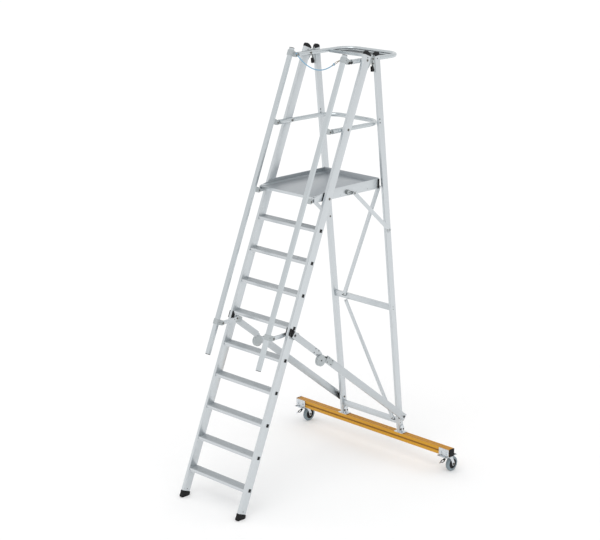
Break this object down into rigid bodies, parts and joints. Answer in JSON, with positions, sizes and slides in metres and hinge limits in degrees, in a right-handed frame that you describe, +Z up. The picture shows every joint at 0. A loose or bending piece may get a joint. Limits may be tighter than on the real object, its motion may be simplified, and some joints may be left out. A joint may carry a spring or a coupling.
{
  "type": "folding platform ladder with caster traverse",
  "caption": "Folding aluminium platform ladder with flat treads, guard rails, tool tray, drop-down handrails and an ochre rear traverse on braked swivel casters.",
  "frame": {"origin": "on the floor, under the middle of the bounding box", "axes": "+X to the climber's right, +Y from the steps to the caster traverse, +Z up"},
  "size_m": [1.772, 2.016, 3.4734],
  "materials": {
    "satin_aluminium": "satin extruded",
    "step_aluminium": "ribbed extruded",
    "deck_aluminium": "fine ribbed sheet",
    "cast_aluminium": "matt cast",
    "zinc_steel": "bright zinc plated",
    "ochre_beam": "ochre anodised look",
    "black_plastic": "moulded",
    "foot_rubber": "moulded",
    "grey_tyre": "matt",
    "blue_rope": "braided"
  },
  "bodies": {
    "front_ladder": {"stile_front_left": "satin_aluminium", "stile_front_right": "satin_aluminium", "step_1": "step_aluminium", "step_2": "step_aluminium", "step_3": "step_aluminium", "step_4": "step_aluminium", "step_5": "step_aluminium", "step_6": "step_aluminium", "step_7": "step_aluminium", "step_8": "step_aluminium", "step_9": "step_aluminium", "foot_left": "foot_rubber", "foot_right": "foot_rubber", "stile_cap_front_left": "black_plastic", "stile_cap_front_right": "black_plastic", "hinge_plate_front_left": "cast_aluminium", "hinge_plate_front_right": "cast_aluminium"},
    "rear_frame": {"stile_rear_left": "satin_aluminium", "stile_rear_right": "satin_aluminium", "stile_cap_rear_left": "black_plastic", "stile_cap_rear_right": "black_plastic", "hinge_plate_rear_left": "cast_aluminium", "hinge_plate_rear_right": "cast_aluminium", "cross_bar_mid": "satin_aluminium", "cross_bar_low": "satin_aluminium", "diagonal_upper": "satin_aluminium", "diagonal_lower": "satin_aluminium", "traverse_beam": "ochre_beam", "beam_cap_left": "black_plastic", "beam_cap_right": "black_plastic", "base_clamp_left": "zinc_steel", "base_clamp_right": "zinc_steel", "caster_bracket_left": "zinc_steel", "caster_bracket_right": "zinc_steel"},
    "platform": {"platform_deck": "deck_aluminium", "platform_side_left": "satin_aluminium", "platform_side_right": "satin_aluminium"},
    "top_rail": {"top_rail": "satin_aluminium", "tool_tray": "deck_aluminium"},
    "mid_rail": {"mid_rail": "satin_aluminium"},
    "lower_links": {"lower_link_left": "satin_aluminium", "lower_link_right": "satin_aluminium"},
    "handrails": {"handrail_left": "satin_aluminium", "handrail_right": "satin_aluminium", "safety_rope": "blue_rope", "rope_hook": "zinc_steel"},
    "struts": {"strut_left": "satin_aluminium", "strut_right": "satin_aluminium"},
    "spreader_upper": {"spreader_upper_left": "satin_aluminium", "spreader_upper_right": "satin_aluminium"},
    "spreader_lower": {"spreader_lower_left": "satin_aluminium", "spreader_lower_right": "satin_aluminium"},
    "caster_fork_left": {"caster_fork_left": "zinc_steel"},
    "caster_fork_right": {"caster_fork_right": "zinc_steel"},
    "caster_wheel_left": {"caster_wheel_left": "grey_tyre"},
    "caster_wheel_right": {"caster_wheel_right": "grey_tyre"},
    "brake_pedal_left": {"brake_pedal_left": "black_plastic"},
    "brake_pedal_right": {"brake_pedal_right": "black_plastic"}
  },
  "joints": [
    {"name": "frame_fold", "type": "hinge", "parent": "front_ladder", "child": "rear_frame", "pos_m": [0, 0.46995, 3.403], "axis": [-1, 0, 0], "range_deg": [0, 24.4]},
    {"name": "platform_tilt", "type": "hinge", "parent": "front_ladder", "child": "platform", "pos_m": [0, -0.00779, 2.37191], "axis": [1, 0, 0], "range_deg": [0, 52.05]},
    {"name": "top_rail_tilt", "type": "hinge", "parent": "front_ladder", "child": "top_rail", "pos_m": [0, 0.40544, 3.39835], "axis": [1, 0, 0], "range_deg": [0, 52.05]},
    {"name": "mid_rail_tilt", "type": "hinge", "parent": "front_ladder", "child": "mid_rail", "pos_m": [0, 0.19763, 2.88351], "axis": [1, 0, 0], "range_deg": [0, 52.05]},
    {"name": "lower_link_tilt", "type": "hinge", "parent": "front_ladder", "child": "lower_links", "pos_m": [0, -0.41311, 1.36589], "axis": [1, 0, 0], "range_deg": [0, 52.05]},
    {"name": "handrail_swing", "type": "hinge", "parent": "platform", "child": "handrails", "pos_m": [0, -0.16629, 2.36801], "axis": [-1, 0, 0], "range_deg": [0, 52.05]},
    {"name": "strut_swing", "type": "hinge", "parent": "rear_frame", "child": "struts", "pos_m": [0, 0.67995, 2.006], "axis": [-1, 0, 0], "range_deg": [0, 31.7]},
    {"name": "spreader_upper_swing", "type": "hinge", "parent": "front_ladder", "child": "spreader_upper", "pos_m": [0, -0.40005, 1.3625], "axis": [1, 0, 0], "range_deg": [0, 101.68]},
    {"name": "spreader_lower_swing", "type": "hinge", "parent": "rear_frame", "child": "spreader_lower", "pos_m": [0, 0.86495, 0.37], "axis": [-1, 0, 0], "range_deg": [0, 40]},
    {"name": "caster_swivel_left", "type": "hinge", "parent": "rear_frame", "child": "caster_fork_left", "pos_m": [-0.8283, 0.89995, 0.15], "axis": [0, 0, 1], "continuous": true},
    {"name": "wheel_spin_left", "type": "hinge", "parent": "caster_fork_left", "child": "caster_wheel_left", "pos_m": [-0.8283, 0.94575, 0.06226], "axis": [1, 0, 0], "continuous": true},
    {"name": "brake_pedal_left", "type": "hinge", "parent": "caster_fork_left", "child": "brake_pedal_left", "pos_m": [-0.8283, 0.86695, 0.131], "axis": [1, 0, 0], "range_deg": [0, 12]},
    {"name": "caster_swivel_right", "type": "hinge", "parent": "rear_frame", "child": "caster_fork_right", "pos_m": [0.8283, 0.89995, 0.15], "axis": [0, 0, 1], "continuous": true},
    {"name": "wheel_spin_right", "type": "hinge", "parent": "caster_fork_right", "child": "caster_wheel_right", "pos_m": [0.8283, 0.94575, 0.06226], "axis": [1, 0, 0], "continuous": true},
    {"name": "brake_pedal_right", "type": "hinge", "parent": "caster_fork_right", "child": "brake_pedal_right", "pos_m": [0.8283, 0.86695, 0.131], "axis": [1, 0, 0], "range_deg": [0, 12]}
  ],
  "couplings": [
    {"joint": "platform_tilt", "follows": "frame_fold", "ratio": 2.1291},
    {"joint": "top_rail_tilt", "follows": "frame_fold", "ratio": 2.1291},
    {"joint": "mid_rail_tilt", "follows": "frame_fold", "ratio": 2.1291},
    {"joint": "lower_link_tilt", "follows": "frame_fold", "ratio": 2.1291},
    {"joint": "handrail_swing", "follows": "frame_fold", "ratio": 2.1291},
    {"joint": "strut_swing", "follows": "frame_fold", "ratio": 1.2951},
    {"joint": "spreader_upper_swing", "follows": "frame_fold", "ratio": 4.159},
    {"joint": "spreader_lower_swing", "follows": "frame_fold", "ratio": 1.6353}
  ]
}
